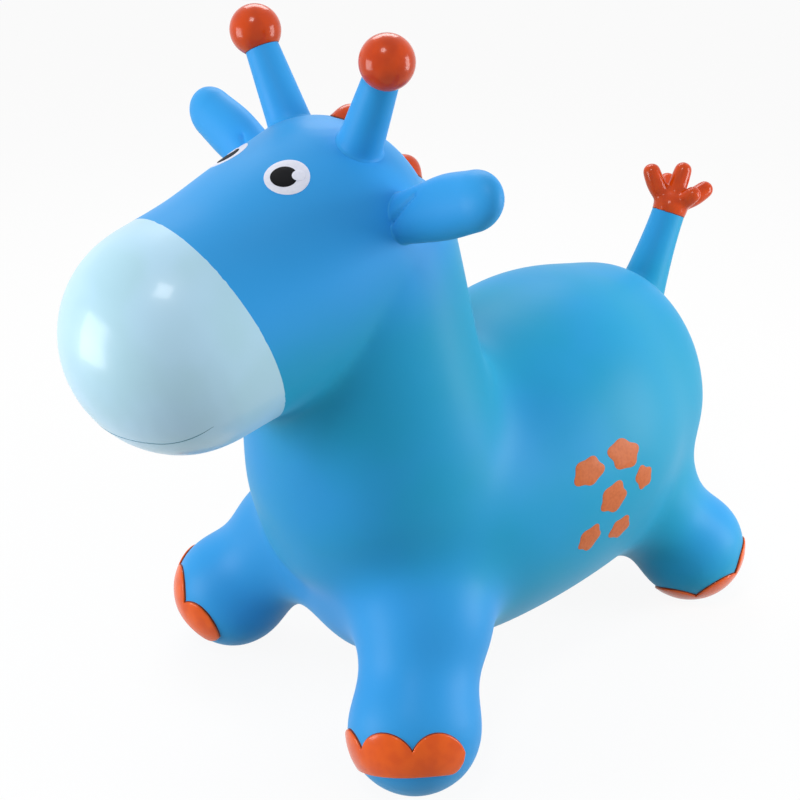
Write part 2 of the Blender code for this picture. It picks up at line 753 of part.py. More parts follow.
def make_valve(animal, trees):
    point = seat(trees, (0, valve_y, barrel_axis_z), (0, 0, -1))[0]
    place = Matrix.Translation(point)
    slide = animal.pivot("pivot_valve_plug", point, -UP)

    under = -valve_flange_height - fit_gap

    # The seat's outer side, from the top of its body down to the flange
    def outer_side(grow, bottom):
        return [(valve_body_radius + grow, valve_body_depth + grow), (valve_body_radius + grow, grow),
                (valve_flange_radius + grow, grow), (valve_flange_radius + grow, bottom)]

    flange_bottom = -valve_flange_height
    ring = outer_side(0, flange_bottom)
    ring += [(valve_bore_radius, flange_bottom), (valve_bore_radius, valve_body_depth)]
    seat_ring = profile("valve_seat", ring)
    turned(animal.part(seat_ring.name, seat_ring, animal.blue, place), limb_sides)
    low = flange_bottom - cut_overrun
    hole = [(0, valve_body_depth + fit_gap)] + outer_side(fit_gap, low) + [(0, low)]
    socket = turned(animal.tool("valve_hole", profile("valve_hole", hole), place), limb_sides)
    shank = valve_bore_radius - fit_gap
    plug = [(0, under + plug_shank_length), (shank, under + plug_shank_length), (shank, under),
            (plug_head_radius, under), (plug_head_radius, under - plug_head_height),
            (0, under - plug_head_height)]
    plug = profile("valve_plug", plug)
    turned(animal.part(plug.name, plug, animal.blue, place, slide), limb_sides)
    return socket


def make_trunk(animal, sockets):
    trunk = animal.part("trunk_skin", barrel_mesh("trunk_skin", 0, 1), animal.blue)
    chest_place = (0, chest_y, chest_z)
    chest = animal.tool("chest", ball("chest", chest_radius, chest_place, body_sides))
    combine(trunk, "UNION", chest)
    barrel_hollow = animal.tool("barrel_hollow", barrel_mesh("barrel_hollow", -skin_wall, 2))
    chest_hollow = ball("chest_hollow", chest_radius - skin_wall, chest_place, body_sides // 2)
    cut(trunk, barrel_hollow, animal.tool(chest_hollow.name, chest_hollow), *sockets)
    return finish(trunk)


# Sets the animal's middle over the origin, half way between its muzzle and its tail
def centre_lengthwise(animal):
    graph = bpy.context.evaluated_depsgraph_get()
    reach = []
    for item in animal.parts.objects:
        mesh = item.evaluated_get(graph).to_mesh()
        reach += [(item.matrix_world @ vertex.co).y for vertex in mesh.vertices]
        item.evaluated_get(graph).to_mesh_clear()
    animal.root.location.y -= (min(reach) + max(reach)) / 2
    bpy.context.view_layer.update()


def build():
    clear_scene()
    animal = Animal()
    wide = barrel_length + cut_overrun
    floor = animal.tool("floor", box("floor", (-wide, -wide, -wide), (wide, wide, 0)))
    sockets = []
    for side, name in ((1, "left"), (-1, "right")):
        sockets.append(make_leg(animal, f"front_{name}", side, front_foot_x, front_foot_y, front_leg_length,
                                front_leg_turn, front_toe_turn, front_toe_drop, floor))
        sockets.append(make_leg(animal, f"rear_{name}", side, rear_foot_x, rear_foot_y, rear_leg_length,
                                rear_leg_turn, rear_toe_turn, rear_toe_drop, floor))
    trees = [tree_of(barrel_mesh("barrel_guide", 0, 1))]
    sockets.append(make_head(animal))
    sockets.append(make_tail(animal, trees))
    sockets.append(make_valve(animal, trees))
    make_trunk(animal, sockets)
    centre_lengthwise(animal)


build()
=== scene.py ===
# The looks of a bouncy ride-on giraffe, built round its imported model.
import json
from math import asin, cos, exp, hypot, pi, radians, sin, sqrt

import bmesh
import bpy
import numpy as np
from mathutils import Matrix, Vector
from mathutils.bvhtree import BVHTree
from mathutils.geometry import delaunay_2d_cdt
from mathutils.interpolate import poly_3d_calc


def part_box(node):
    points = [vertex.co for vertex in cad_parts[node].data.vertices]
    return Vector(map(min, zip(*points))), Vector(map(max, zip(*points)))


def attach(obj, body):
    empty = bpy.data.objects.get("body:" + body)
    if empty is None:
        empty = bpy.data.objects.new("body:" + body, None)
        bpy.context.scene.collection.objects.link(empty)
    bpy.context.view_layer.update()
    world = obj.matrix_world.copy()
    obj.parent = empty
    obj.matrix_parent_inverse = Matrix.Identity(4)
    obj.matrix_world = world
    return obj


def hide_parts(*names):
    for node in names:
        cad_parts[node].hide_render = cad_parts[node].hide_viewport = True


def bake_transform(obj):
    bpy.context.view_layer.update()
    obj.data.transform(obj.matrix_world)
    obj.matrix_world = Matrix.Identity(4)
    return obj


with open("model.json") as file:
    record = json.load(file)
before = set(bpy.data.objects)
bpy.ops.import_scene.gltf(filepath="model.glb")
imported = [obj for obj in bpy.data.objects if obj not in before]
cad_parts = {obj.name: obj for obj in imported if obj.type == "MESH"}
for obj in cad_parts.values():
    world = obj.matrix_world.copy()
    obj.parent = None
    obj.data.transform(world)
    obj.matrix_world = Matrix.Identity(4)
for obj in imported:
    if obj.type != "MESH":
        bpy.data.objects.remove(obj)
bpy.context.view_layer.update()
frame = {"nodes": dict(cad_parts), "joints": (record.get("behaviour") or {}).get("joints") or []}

joints = {joint["name"]: joint for joint in frame["joints"]}
across, back, up = Vector((1, 0, 0)), Vector((0, 1, 0)), Vector((0, 0, 1))
sides = {"left": 1, "right": -1}
print("frame loaded:", len(frame["nodes"]), "solids")


def jointPlace(name):
    return Vector(joints[name]["pos_m"])


def middleOf(node):
    low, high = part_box(node)
    return (low + high) / 2


# Forms: closed rings of points, gathered in one bmesh

def turnsOf(count):
    return [2 * pi * index / count for index in range(count)]


# The row at a share of the way along rows that are evenly spaced, on a smooth curve through them
def smoothRow(rows, at):
    rows = np.array(rows)
    last = len(rows) - 1
    index = min(int(at * last), last - 1)
    t = at * last - index
    a, b = rows[index], rows[index + 1]
    before = rows[index - 1] if index else a * 2 - b
    after = rows[index + 2] if index + 2 <= last else b * 2 - a
    slopeA, slopeB = (b - before) / 2, (after - a) / 2
    return (a * (2 * t**3 - 3 * t**2 + 1) + slopeA * (t**3 - 2 * t**2 + t)
            + b * (3 * t**2 - 2 * t**3) + slopeB * (t**3 - t**2))


def ovalRing(centre, lift, halfWidth, halfUp, halfDown, count):
    return [centre + across * (halfWidth * cos(turn))
            + lift * ((halfUp if sin(turn) >= 0 else halfDown) * sin(turn))
            for turn in turnsOf(count)]


def skinRings(bm, rings, matrix):
    rows = [[bm.verts.new(matrix @ point) for point in ring] for ring in rings]
    bands = []
    for row, following in zip(rows, rows[1:]):
        band = []
        for index in range(max(len(row), len(following))):
            corner = index + 1
            face = [row[index % len(row)], row[corner % len(row)],
                    following[corner % len(following)], following[index % len(following)]]
            band.append(bm.faces.new(list(dict.fromkeys(face))))
        bands.append(band)
    return bands


# A body along rows of y, z, half width, half height above and below, with a dome at each end
def addLoft(bm, sections, caps, count, steps, matrix, domeSteps=9):
    samples = [smoothRow(sections, step / steps) for step in range(steps + 1)]
    centres = [Vector((0, *sample[:2])) for sample in samples]
    rings = []
    for index, sample in enumerate(samples):
        along = (centres[min(index + 1, steps)] - centres[max(index - 1, 0)]).normalized()
        lift = along.cross(across)
        if lift.z < -abs(lift.y) or (abs(lift.z) < abs(lift.y) and lift.y < 0):
            lift = -lift
        dome = []
        if index in (0, steps):
            reach = -caps[0] if index == 0 else caps[1]
            for step in range(1, domeSteps):
                turn = pi / 2 * step / domeSteps
                halves = [half * cos(turn) for half in sample[2:]]
                middle = centres[index] + along * (reach * sin(turn))
                dome.append(ovalRing(middle, lift, *halves, count))
            dome.append([centres[index] + along * reach])
        ring = [ovalRing(centres[index], lift, *sample[2:], count)]
        rings += dome[::-1] + ring if index == 0 else ring + dome
    skinRings(bm, rings, matrix)


def roundRing(radius, height, count):
    if radius < 1e-6:
        return [up * height]
    return [Vector((radius * cos(turn), radius * sin(turn), height)) for turn in turnsOf(count)]


def addTurned(bm, outline, matrix, count):
    rings = [roundRing(radius, height, count) for radius, height in outline]
    return skinRings(bm, rings, matrix)


def arcOutline(radius, height, firstTurn, lastTurn, steps):
    turns = [firstTurn + (lastTurn - firstTurn) * step / steps for step in range(steps + 1)]
    return [(max(radius * sin(turn), 0.0), height + radius * cos(turn)) for turn in turns]


def aimed(place, way):
    return Matrix.Translation(place) @ up.rotation_difference(way).to_matrix().to_4x4()


def addObject(name, data):
    item = bpy.data.objects.new(name, data)
    bpy.context.scene.collection.objects.link(item)
    return item


def meshObject(name, mesh, *materials):
    for material in materials:
        mesh.materials.append(material)
    return addObject(name, mesh)


def closedObject(bm, name, *materials):
    bmesh.ops.recalc_face_normals(bm, faces=bm.faces)
    mesh = bpy.data.meshes.new(name)
    bm.to_mesh(mesh)
    bm.free()
    mesh.shade_smooth()
    return meshObject(name, mesh, *materials)


def voxelForm(bm, name, voxel):
    item = closedObject(bm, name)
    remesh = item.modifiers.new("one skin", "REMESH")
    remesh.mode = "VOXEL"
    remesh.voxel_size = voxel
    graph = bpy.context.evaluated_depsgraph_get()
    made = bpy.data.meshes.new_from_object(item.evaluated_get(graph))
    bpy.data.objects.remove(item)
    return made


def meshArrays(mesh):
    points = np.array([vert.co for vert in mesh.vertices])
    return points, np.array([edge.vertices[:] for edge in mesh.edges])


def distances(points, place):
    return np.linalg.norm(points - np.array(place), axis=1)


def heights(points, place, way):
    return (points - np.array(place)) @ np.array(way)


# Draws each point towards the middle of its neighbours, round after round
def relax(points, edges, weights, rounds, pace=0.6):
    count = np.bincount(edges.ravel(), minlength=len(points))[:, None]
    first, second = edges[:, 0], edges[:, 1]
    for _ in range(rounds):
        total = np.stack([np.bincount(first, points[second, axis], len(points))
                          + np.bincount(second, points[first, axis], len(points))
                          for axis in range(3)], axis=1)
        points = points + weights[:, None] * (total / count - points) * pace
    return points


# Trunk, neck and head

trunk = {
    "length": 0.270, "width": 0.262, "height": 0.290,
    "frontY": -0.060, "axisZ": 0.165, "frontCap": 0.078, "rearCap": 0.074,
    "nodY": -0.078,  # where the nod joint lies along these forms' own Y
    # shares of the length, height and width: along, rise, half width, half above, half below
    "sections": (
        (0.00, 0.030, 0.430, 0.400, 0.490),
        (0.25, 0.000, 0.475, 0.412, 0.490),
        (0.50, 0.010, 0.500, 0.466, 0.490),
        (0.75, 0.040, 0.490, 0.482, 0.485),
        (1.00, 0.062, 0.390, 0.424, 0.390)),
}

neck = {
    "lowCap": 0.050, "topCap": 0.040, "bendFrom": 0.004, "bendTo": 0.070,
    # in metres: y, z, half width, half depth behind, half depth in front
    "sections": (
        (-0.060, 0.150, 0.100, 0.080, 0.098),
        (-0.062, 0.200, 0.108, 0.094, 0.109),
        (-0.069, 0.250, 0.104, 0.089, 0.105),
        (-0.078, 0.300, 0.096, 0.083, 0.097),
        (-0.087, 0.350, 0.0885, 0.081, 0.090),
        (-0.100, 0.400, 0.084, 0.080, 0.088)),
}

head = {
    "length": 0.126, "width": 0.168, "height": 0.172,
    "skullY": -0.110, "muzzleZ": 0.361, "skullCap": 0.072, "muzzleCap": 0.079,
    "sections": (
        (0.00, 0.250, 0.500, 0.500, 0.480),
        (0.33, 0.180, 0.495, 0.470, 0.530),
        (0.66, 0.090, 0.485, 0.455, 0.518),
        (1.00, 0.000, 0.478, 0.468, 0.470)),
    "paintLineY": -0.2270, "paintLineZ": 0.3913, "paintLineLean": radians(21.0),
    "paintReach": 0.120,  # how far from the muzzle's middle its paint can lie
}

shiftBack = jointPlace("head_nod").y - trunk["nodY"]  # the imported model's own shift along Y
muzzleMiddle = Vector((0, shiftBack + head["skullY"] - head["length"], head["muzzleZ"]))
paintPoint = Vector((0, shiftBack + head["paintLineY"], head["paintLineZ"]))
paintWay = Matrix.Rotation(head["paintLineLean"], 3, "X") @ -back


def scaledSections(form, startY, startZ, way):
    return [(startY + way * along * form["length"], startZ + rise * form["height"],
             half * form["width"], above * form["height"], below * form["height"])
            for along, rise, half, above, below in form["sections"]]


def addBody(bm):
    trunkRows = scaledSections(trunk, trunk["frontY"], trunk["axisZ"], 1)
    headRows = scaledSections(head, head["skullY"], head["muzzleZ"], -1)
    setOff = Matrix.Translation((0, shiftBack, 0))
    addLoft(bm, trunkRows, (trunk["frontCap"], trunk["rearCap"]), 72, 28, setOff)
    addLoft(bm, neck["sections"], (neck["lowCap"], neck["topCap"]), 64, 20, setOff)
    addLoft(bm, headRows, (head["skullCap"], head["muzzleCap"]), 64, 22, setOff)


# Legs: each turned about an axis that leans outwards from its hip

leg = {
    "footRadius": 0.0526, "hipRadius": 0.0580, "lean": radians(45),
    "hipEdgeTurn": radians(57), "footEdgeTurn": radians(102),
    "lengths": {"front": 0.077, "rear": 0.068},
    # along the leg: where its vinyl is parted off and where it bends; how far round it reaches
    "seam": 0.014, "bendFrom": 0.018, "bendTo": 0.062, "reach": 0.085,
    "steps": 18, "calfSteps": 8, "count": 48,
}


def legFrame(end, side):
    name = f"leg_{end}_{side}"
    joint = joints[f"{name}_splay"]
    hip = Vector(joint["pos_m"])
    outwards = Vector(joint["axis"]).cross(up).normalized()
    along = outwards * sin(leg["lean"]) - up * cos(leg["lean"])
    return name, hip, along, outwards, hip + along * leg["lengths"][end]


def addLeg(bm, end, side):
    _, hip, along, _, _ = legFrame(end, side)
    low, high, steps = leg["footEdgeTurn"], leg["hipEdgeTurn"], leg["steps"]
    sole = arcOutline(leg["footRadius"], leg["lengths"][end], 0, low, steps)
    hipArc = arcOutline(leg["hipRadius"], 0, high, pi, steps)

    # the calf leaves the foot and meets the hip along their own curves
    start, finish = Vector(sole[-1]), Vector(hipArc[0])
    handle = (start - finish).length / 3
    leave = start + Vector((cos(low), -sin(low))) * handle
    arrive = finish - Vector((cos(high), -sin(high))) * handle
    calf = []
    for step in range(1, leg["calfSteps"]):
        t = step / leg["calfSteps"]
        calf.append(tuple(start * (1 - t)**3 + leave * (3 * t * (1 - t)**2)
                          + arrive * (3 * t**2 * (1 - t)) + finish * t**3))
    addTurned(bm, sole + calf + hipArc, aimed(hip, along), leg["count"])


# One skin over trunk, neck, head and legs

skin = {
    "voxel": 0.0030, "wall": 0.0024,
    "neckSeamPoint": (0, 0.005, 0.300), "neckSeamLean": radians(20.5),
    "recessRadius": 0.0224, "recessDepth": 0.0020, "recessEdge": 2.2,
    # middle, radius, fade and rounds of smoothing where the forms run into each other
    "zones": (
        ((0, 0.010, 0.290), 0.070, 0.060, 165),  # saddle and nape
        ((0, -0.150, 0.270), 0.050, 0.060, 115),  # throat
        ((0, -0.080, 0.170), 0.110, 0.060, 75),  # chest
        ((0, 0.205, 0.235), 0.110, 0.055, 110)),  # rump
    "hipZone": (0.010, 0.068, 0.040, 90),  # along the leg, radius, fade, rounds
    "overall": 6,  # rounds over the whole skin
    # how far behind the paint line its cut reaches; the share of a voxel within which it snaps
    "cutFrom": 0.08, "cutSnap": 0.12,
    "rounding": 0.75,  # from a facet out to the curve it stands for
}


def makeSkin():
    bm = bmesh.new()
    addBody(bm)
    zones = [(Vector(middle) + back * shiftBack, *numbers) for middle, *numbers in skin["zones"]]
    for side in sides:
        for end in leg["lengths"]:
            addLeg(bm, end, side)
            _, hip, along, _, _ = legFrame(end, side)
            zones.append((hip + along * skin["hipZone"][0], *skin["hipZone"][1:]))
    mesh = voxelForm(bm, "skin forms", skin["voxel"])
    points, edges = meshArrays(mesh)
    for centre, radius, fade, rounds in zones:
        weights = np.clip((radius + fade - distances(points, centre)) / fade, 0, 1)
        points = relax(points, edges, weights, rounds)
    points = relax(points, edges, np.ones(len(points)), skin["overall"])

    # the belly is pressed in a little round the valve
    share = distances(points, middleOf("valve_seat")) / skin["recessRadius"]
    recess = np.clip(skin["recessEdge"] * (1 - share), 0, 1)
    points[:, 2] += skin["recessDepth"] * recess * recess * (3 - 2 * recess)
    points[:, 2] = np.maximum(points[:, 2], 0.0)
    mesh.vertices.foreach_set("co", points.ravel())
    mesh.update()
    return mesh


# Cuts the skin at the muzzle's paint line, then reads it as arrays that the pieces share
def readSkin(mesh):
    bm = bmesh.new()
    bm.from_mesh(mesh)
    limit = paintPoint.y + skin["cutFrom"]
    near = [face for face in bm.faces if face.calc_center_median().y < limit]
    edges = dict.fromkeys(edge for face in near for edge in face.edges)
    verts = dict.fromkeys(vert for face in near for vert in face.verts)
    bmesh.ops.bisect_plane(bm, geom=[*near, *edges, *verts], dist=skin["voxel"] * skin["cutSnap"],
                           plane_co=paintPoint, plane_no=paintWay)
    bm.normal_update()
    bm.verts.index_update()
    points = [vert.co.copy() for vert in bm.verts]
    normals = [vert.normal.copy() for vert in bm.verts]
    faces = [[vert.index for vert in face.verts] for face in bm.faces]
    centres = np.array([face.calc_center_median() for face in bm.faces])
    tree = BVHTree.FromBMesh(bm)
    bm.free()
    return points, normals, faces, centres, tree


skinPoints, skinNormals, skinFaces, skinCentres, skinTree = readSkin(makeSkin())
print("skin made:", len(skinFaces), "faces")


# The place on the rounded skin that a ray meets, and the normal there
def onSkin(start, way, reach):
    hit, _, index, _ = skinTree.ray_cast(start, way, reach)
    corners = skinFaces[index]
    shares = poly_3d_calc([skinPoints[corner] for corner in corners], hit)
    point, normal = hit.copy(), Vector()
    for corner, share in zip(corners, shares):
        lift = (skinPoints[corner] - hit).dot(skinNormals[corner])
        point += skinNormals[corner] * (lift * share * skin["rounding"])
        normal += skinNormals[corner] * share
    return point, normal.normalized()


# A stretch of the skin as a closed shell of the wall's thickness, shaded as if it were uncut
def shellPiece(name, chosen, *materials):
    used, outer, rim = {}, [], {}
    for index in np.flatnonzero(chosen):
        outer.append([used.setdefault(corner, len(used)) for corner in skinFaces[index]])
    for face in outer:
        for a, b in zip(face, face[1:] + face[:1]):
            if rim.pop((b, a), None) is None:
                rim[(a, b)] = True
    count = len(used)
    normals = [skinNormals[key] for key in used]
    outside = [skinPoints[key] for key in used]
    inside = [point - normal * skin["wall"] for point, normal in zip(outside, normals)]
    inner = [[corner + count for corner in reversed(face)] for face in outer]
    band = [[b, a, a + count, b + count] for a, b in rim]
    mesh = bpy.data.meshes.new(name)
    mesh.from_pydata(outside + inside, [], outer + inner + band)
    mesh.shade_smooth()
    shading = normals + [-normal for normal in normals]
    mesh.normals_split_custom_set([
        tuple(shading[corner] if polygon.index < 2 * len(outer) else polygon.normal)
        for polygon in mesh.polygons for corner in polygon.vertices])
    return meshObject(name, mesh, *materials)


# Materials

def linear(hexColour):
    values = [int(hexColour[index:index + 2], 16) / 255 for index in (1, 3, 5)]
    return tuple(value / 12.92 if value <= 0.04045 else ((value + 0.055) / 1.055)**2.4
                 for value in values) + (1.0,)


# A source is a socket, or a node whose first output is meant
def connect(node, links):
    for key, source in links.items():
        socket = source.outputs[0] if isinstance(source, bpy.types.Node) else source
        node.id_data.links.new(socket, node.inputs[key])


def addNode(tree, kind, settings=None, links=None):
    node = tree.nodes.new("ShaderNode" + kind)
    for key, value in (settings or {}).items():
        if isinstance(key, int) or key in node.inputs.keys():
            node.inputs[key].default_value = value
        else:
            setattr(node, key, value)
    connect(node, links or {})
    return node


def newMaterial(name, settings):
    material = bpy.data.materials.new(name)
    material.use_nodes = True
    shader = material.node_tree.nodes["Principled BSDF"]
    for key, value in settings.items():
        shader.inputs[key].default_value = value
    return material, material.node_tree, shader


smoothly = {"interpolation_type": "SMOOTHSTEP"}

vinyl = {
    "sky": "#33a0e8", "turquoise": "#1ba0c9", "sheen": "#d6efff",
    "cloudSize": 0.060, "cloudShare": 0.40,  # metres from cloud to cloud, and how strong they are
    # facing up adds sky blue: painted top light
    "level": 0.45, "upwards": 0.55,  # how sky blue a wall is, and what facing up adds
    "castFrom": 0.40, "castTo": 1.30,  # where turquoise ends and where sky blue is full
    # crown, shins and front: axis, where each starts and is full, and how much sky blue it adds
    "fades": (("Z", 0.31, 0.44, 0.6), ("Z", 0.16, 0.10, 0.55), ("Y", -0.01, -0.06, 1.0)),
    # the same for a drift round its middle
    "drifts": (((0, 0.14, 0.19), 0.18, 0.11, -0.42), ((0, -0.02, 0.34), 0.15, 0.07, -0.50),
               ((0, -0.17, 0.17), 0.15, 0.06, 0.35)),
    "peelSize": 0.0025, "peelDepth": 0.0004,
}


# Soft PVC, rotationally moulded: satin, with the mould's faint orange peel and a powdery rim, and a
# slow drift between sky blue and turquoise that is partly the pigment's own and partly painted
# light:
# walls that face up are painted more sky blue, as if lit from above, and the drifts and fades
# partly follow where light and shade fall on the shoulders, flanks, crown, shins and chest
def softPvc():
    material, tree, shader = newMaterial("soft PVC, rotationally moulded, sky blue", {
        "IOR": 1.53, "Specular IOR Level": 0.16,
        "Sheen Weight": 0.10, "Sheen Roughness": 0.45, "Sheen Tint": linear(vinyl["sheen"])})
    coordinates = addNode(tree, "TexCoord")
    place = coordinates.outputs["Object"]
    facing = addNode(tree, "SeparateXYZ", None, {0: coordinates.outputs["Normal"]})
    axes = addNode(tree, "SeparateXYZ", None, {0: place})
    cloud = addNode(tree, "TexNoise", {"Scale": 1 / vinyl["cloudSize"], "Detail": 2.0,
                                       "Roughness": 0.45}, {"Vector": place})
    # painted top light: the more a wall faces up, the more sky blue it is painted
    total = addNode(tree, "Math", {"operation": "MULTIPLY_ADD", 1: vinyl["upwards"],
                                   2: vinyl["level"]}, {0: facing.outputs["Z"]})
    total = addNode(tree, "Math", {"operation": "MULTIPLY_ADD", 1: vinyl["cloudShare"]},
                    {0: cloud, 2: total})
    parts = []
    for middle, *fade in vinyl["drifts"]:
        away = addNode(tree, "VectorMath", {"operation": "DISTANCE", 1: middle}, {0: place})
        parts.append((fade, away.outputs["Value"]))
    for axis, *fade in vinyl["fades"]:
        parts.append((fade, axes.outputs[axis]))
    *parts, shins, front = [
        addNode(tree, "MapRange", {**smoothly, "From Min": start, "From Max": full,
                                   "To Max": share}, {"Value": source})
        for (start, full, share), source in parts]
    parts.append(addNode(tree, "Math", {"operation": "MULTIPLY"}, {0: shins, 1: front}))
    for part in parts:
        total = addNode(tree, "Math", {"operation": "ADD"}, {0: total, 1: part})
    # the cast from turquoise to sky blue, partly pigment and partly painted light and shade
    cast = addNode(tree, "MapRange", {**smoothly, "From Min": vinyl["castFrom"],
                                      "From Max": vinyl["castTo"]}, {"Value": total})
    base = addNode(tree, "Mix", {"data_type": "RGBA", 6: linear(vinyl["turquoise"]),
                                 7: linear(vinyl["sky"])}, {0: cast})
    rough = addNode(tree, "MapRange", {"To Min": 0.42, "To Max": 0.52}, {"Value": cloud})
    fine = addNode(tree, "TexNoise", {"Scale": 1 / vinyl["peelSize"], "Detail": 2.0},
                   {"Vector": place})
    peel = addNode(tree, "Bump", {"Strength": 0.06, "Distance": vinyl["peelDepth"]},
                   {"Height": fine})
    connect(shader, {"Base Color": base.outputs[2], "Roughness": rough, "Normal": peel})
    return material


# A thin film on the PVC: one noise mixes its two shades and gives its relief
def film(name, shine, colour, second, noise, spread, relief):
    material, tree, shader = newMaterial(name, shine)
    place = addNode(tree, "TexCoord").outputs["Object"]
    cloud = addNode(tree, "TexNoise", noise, {"Vector": place})
    share = addNode(tree, "MapRange", spread, {"Value": cloud})
    base = addNode(tree, "Mix", {"data_type": "RGBA", 6: linear(second), 7: linear(colour)},
                   {0: share})
    bump = addNode(tree, "Bump", relief, {"Height": cloud})
    connect(shader, {"Base Color": base.outputs[2], "Normal": bump})
    return material, tree, shader, cloud


# Lacquer sprayed on PVC: a smooth gloss film whose slow ripple bends the highlights a little
def sprayedLacquer(name, colour, second, roughness, ripple, depth, level, coat):
    shine = {"IOR": 1.5, "Specular IOR Level": level, "Coat Weight": coat, "Coat Roughness": 0.09}
    material, tree, shader, cloud = film(
        name, shine, colour, second, {"Scale": 1 / ripple, "Detail": 1.5},
        {**smoothly, "From Min": 0.35, "From Max": 0.65}, {"Strength": 0.3, "Distance": depth})
    rough = addNode(tree, "MapRange", {"To Min": roughness * 0.85, "To Max": roughness * 1.2},
                    {"Value": cloud})
    connect(shader, {"Roughness": rough})
    return material


# Screen-printed ink on PVC: thin and even, duller than the lacquer, with a slightly mottled laydown
def printedInk(name, colour, second, roughness, level):
    shine = {"Roughness": roughness, "IOR": 1.48, "Specular IOR Level": level}
    mottle = 0.0024  # metres: coarser than the real one, so that it shows
    return film(name, shine, colour, second, {"Scale": 1 / mottle, "Detail": 3.0},
                {"From Min": 0.3, "From Max": 0.6}, {"Strength": 0.08, "Distance": 0.0001})[0]


bluePvc = softPvc()

# two shades, roughness, ripple's size and depth in metres, specular level, clear coat's share
muzzleLacquer = sprayedLacquer("lacquer, sprayed ice blue", "#bbe4fb", "#b4dff0",
                               0.34, 0.050, 0.0012, 0.40, 0.22)
orangeLacquer = sprayedLacquer("lacquer, sprayed orange", "#d54600", "#c83e00",
                               0.20, 0.012, 0.0004, 0.20, 0.20)
# the toe caps have the knobs' orange, painted lighter: painted light
litToeLacquer = sprayedLacquer("lacquer, sprayed orange, painted lighter as if lit", "#f0600a", "#e65606",
                            0.24, 0.012, 0.0004, 0.22, 0.18)
# the orange darkened as painted shade, for the shade where a knob, mane lobe, tuft or toe cap meets
# the vinyl under it
paintedShadeLacquer = sprayedLacquer("lacquer, orange, dull, darkened as painted shade", "#7a2f0c", "#6a280a",
                             0.50, 0.010, 0.0003, 0.30, 0.0)
# the valve's own moulded gloss is much like a lacquer's
milkyPvc = sprayedLacquer("soft PVC, moulded, milky", "#a9d3ea", "#9fcbe3",
                          0.40, 0.006, 0.0002, 0.40, 0.0)

# two shades, roughness, specular level
whiteInk = printedInk("ink, printed white", "#e6e9f6", "#dfe3f2", 0.40, 0.40)
blackInk = printedInk("ink, printed black", "#07080e", "#05060a", 0.55, 0.10)
# the smile's crease is no ink: a dark film that stands for the crease's shade, painted shade
creaseShade = printedInk("mould crease, painted shade", "#6b9db3", "#6392a6", 0.60, 0.20)
coatInk = printedInk("ink, printed orange", "#cf6c36", "#c4622e", 0.48, 0.30)
print("materials made")


# The skin's pieces

def bend(piece):
    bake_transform(piece)


def dressSkin():
    free = np.ones(len(skinFaces), bool)

    def take(name, chosen, node, material):
        nonlocal free
        piece = shellPiece(name, chosen & free, material)
        free = free & ~chosen
        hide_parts(node)
        return piece

    for side in sides:
        for end in leg["lengths"]:
            name, hip, along, _, _ = legFrame(end, side)
            run = heights(skinCentres, hip, along)
            aside = distances(skinCentres - run[:, None] * np.array(along), hip)
            chosen = (run > leg["seam"]) & (aside < leg["reach"])
            piece = take(f"{name}_vinyl", chosen, name, bluePvc)
            bend(piece)

    ahead = heights(skinCentres, paintPoint, paintWay) > 0
    ahead &= distances(skinCentres, muzzleMiddle) < head["paintReach"]
    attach(take("muzzle_lacquer", ahead, "muzzle_skin", muzzleLacquer), "head")

    seamPoint = Vector(skin["neckSeamPoint"]) + back * shiftBack
    seamWay = Vector((0, -sin(skin["neckSeamLean"]), cos(skin["neckSeamLean"])))
    above = heights(skinCentres, seamPoint, seamWay) > 0
    piece = take("head_vinyl", above, "head_skin", bluePvc)
    bend(piece)
    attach(take("trunk_vinyl", free.copy(), "trunk_skin", bluePvc), "trunk")


dressSkin()
print("skin parted")


# Horns, ears and tail: each grows out of the skin with a small crisp fillet at its root

stalk = {
    "castFrom": 0.045, "sink": 0.004, "count": 72, "guess": 0.006,
    # how much wider than the stalk the fillet is, and how high over the skin
    "fillet": ((0.0016, -0.0012), (0.0015, 0.0001), (0.0005, 0.0007), (0.0000, 0.0018)),
}

horn = {
    "rootRadius": 0.0158, "topRadius": 0.0112, "seatDepth": 0.0066,
    "bendFrom": 0.014, "bendTo": 0.034, "steps": 24,
    "knobRadius": 0.0182, "knobCount": 64, "collar": 0.0004, "lip": 0.0010,
    # the knob's mouth: out from the collar, and up from the lip's lowest point
    "mouth": ((0.0003, -0.0005), (-0.0006, -0.0003), (-0.0012, 0.0010)), "mouthDepth": 0.0030,
}

ear = {
    "length": 0.105, "height": 0.047, "thickness": 0.029, "cap": 0.025, "steps": 100,
    "raise": radians(22.5), "sweep": radians(-2), "roll": radians(-14),
    # along, half thickness, half height above, half height below
    "sections": (
        (0.00, 0.480, 0.360, 0.360),
        (0.35, 0.500, 0.415, 0.400),
        (0.70, 0.500, 0.465, 0.430),
        (1.00, 0.470, 0.425, 0.405)),
    "bendFrom": 0.016, "bendTo": 0.042, "filletShare": 0.5,
    # the crease at the front of the root: where it starts and ends along and up the ear, then the
    # depth, half width and end fade of the crease itself and of the shallow valley that it lies in
    "creaseFrom": (0.009, -0.004), "creaseTo": (0.034, 0.010),
    "dents": ((0.0024, 0.0013, 0.002), (0.0012, 0.0065, 0.008)),
    "dentEdge": 0.004,  # how near the ear's rim the dents fade out
}

tail = {
    "rootRadius": 0.0212, "topRadius": 0.0150, "flare": 1.6, "seatDepth": 0.0052, "length": 0.0725,
    "lean": radians(23.8), "bendFrom": 0.018, "bendTo": 0.048, "steps": 24,
}


